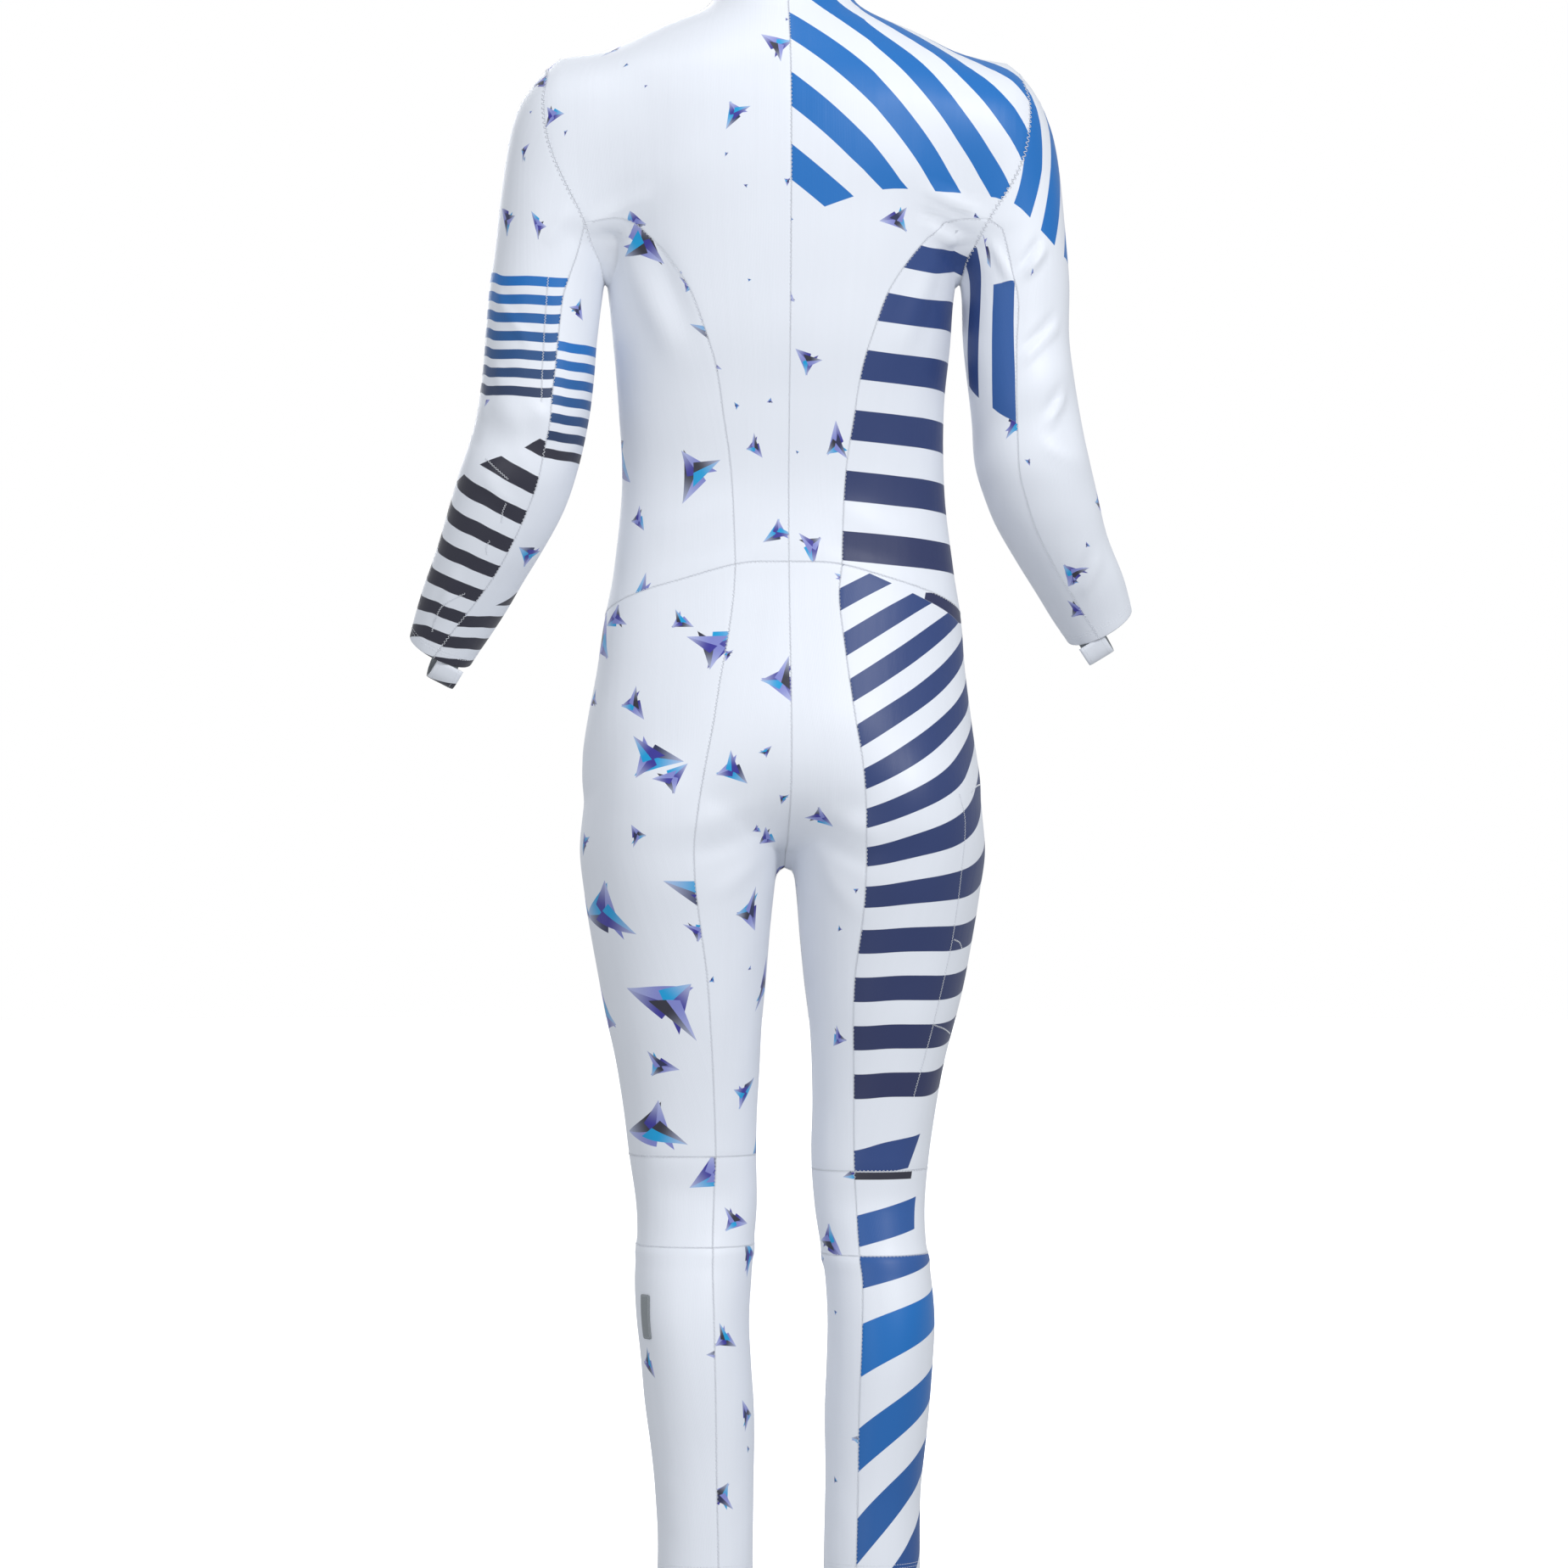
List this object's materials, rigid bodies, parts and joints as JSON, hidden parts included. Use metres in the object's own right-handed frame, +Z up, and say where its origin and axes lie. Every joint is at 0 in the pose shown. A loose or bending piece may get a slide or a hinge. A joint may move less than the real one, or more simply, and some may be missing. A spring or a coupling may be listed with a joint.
{
  "type": "ski race suit",
  "caption": "Close-fitting one-piece winter sports suit, hollow as when worn, with stand collar, front zip, long sleeves with finger loops and long legs.",
  "frame": {"origin": "on the mid-plane at the height of the back neck seam, where the wearer's shoulders hold the suit", "axes": "+Z up, +Y to the wearer's back, +X to the wearer's left"},
  "size_m": [0.6351, 0.2239, 1.4128],
  "materials": {
    "white_cloth": "fine ribbed stretch knit, soft sheen",
    "blue_cloth": "white knit printed with royal blue stripes",
    "navy_cloth": "white knit printed with navy stripes",
    "zip_tape": "woven tape with a nylon coil",
    "zip_metal": "satin die-cast",
    "pull_tab": "dark coated",
    "tag": "plain heat-bonded patch"
  },
  "bodies": {
    "suit": {"back_left": "white_cloth", "side_left": "white_cloth", "front_left": "white_cloth", "collar_left": "white_cloth", "thigh_inner_left": "white_cloth", "thigh_outer_left": "white_cloth", "knee_inner_left": "white_cloth", "knee_outer_left": "white_cloth", "calf_inner_left": "white_cloth", "calf_outer_left": "white_cloth", "sleeve_outer_left": "navy_cloth", "sleeve_inner_left": "white_cloth", "finger_loop_left": "white_cloth", "back_right": "blue_cloth", "side_right": "navy_cloth", "front_right": "white_cloth", "collar_right": "white_cloth", "thigh_inner_right": "white_cloth", "thigh_outer_right": "navy_cloth", "knee_inner_right": "white_cloth", "knee_outer_right": "navy_cloth", "calf_inner_right": "white_cloth", "calf_outer_right": "navy_cloth", "sleeve_outer_right": "white_cloth", "sleeve_inner_right": "white_cloth", "finger_loop_right": "white_cloth", "calf_tag": "tag", "zip_tape": "zip_tape", "zip_slider": "zip_metal"},
    "pull_tab": {"zip_pull": "pull_tab"}
  },
  "joints": [
    {"name": "pull_tab_hinge", "type": "hinge", "parent": "suit", "child": "pull_tab", "pos_m": [0, -0.05906, -0.03052], "axis": [-1, 0, 0], "range_deg": [0, 150]}
  ]
}
